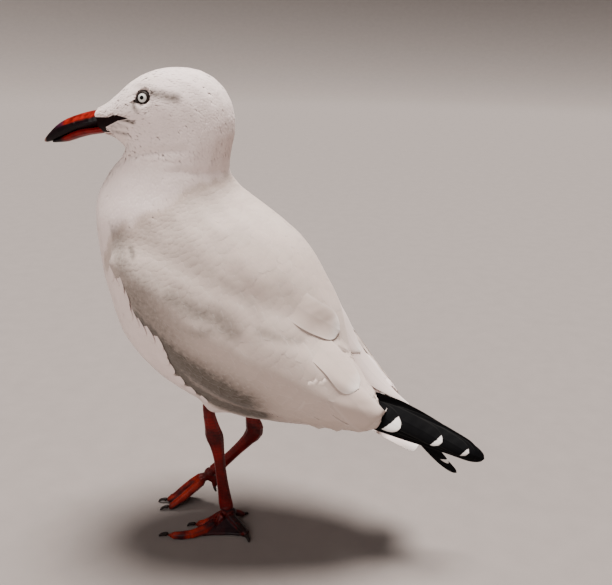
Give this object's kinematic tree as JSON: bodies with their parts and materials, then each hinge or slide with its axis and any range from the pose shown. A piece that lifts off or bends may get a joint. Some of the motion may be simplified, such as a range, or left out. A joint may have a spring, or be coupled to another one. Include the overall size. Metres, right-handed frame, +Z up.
{
  "type": "silver gull",
  "caption": "Silver gull in mid-stride, a still life-size model with white head and breast, pale grey wings, black wing tips, red bill and webbed red feet.",
  "frame": {"origin": "on the floor, under the middle of the bird's box", "axes": "+Z up; the bird faces -X and its left side is towards -Y"},
  "size_m": [0.262, 0.1074, 0.283],
  "materials": {
    "white_plumage": "soft white feathers",
    "grey_plumage": "soft pale grey feathers",
    "black_feathers": "stiff black feathers with white spots near the tips",
    "bill_horn": "glossy red horn, darker towards the tip",
    "leg_skin": "scaled red skin",
    "claw_horn": "dark horn",
    "eye": "wet, white iris round a black pupil"
  },
  "bodies": {
    "root": {"bill_lower": "bill_horn", "bill_upper": "bill_horn", "claw_left_hind": "claw_horn", "claw_left_inner": "claw_horn", "claw_left_middle": "claw_horn", "claw_left_outer": "claw_horn", "claw_right_hind": "claw_horn", "claw_right_inner": "claw_horn", "claw_right_middle": "claw_horn", "claw_right_outer": "claw_horn", "eye_left": "eye", "eye_right": "eye", "foot_left": "leg_skin", "foot_right": "leg_skin", "head": "white_plumage", "neck": "white_plumage", "primaries_left": "black_feathers", "primaries_right": "black_feathers", "tail": "white_plumage", "tarsus_left": "leg_skin", "tarsus_right": "leg_skin", "thigh_left": "white_plumage", "thigh_right": "white_plumage", "trunk": "white_plumage", "wing_left": "grey_plumage", "wing_right": "grey_plumage"}
  },
  "joints": []
}
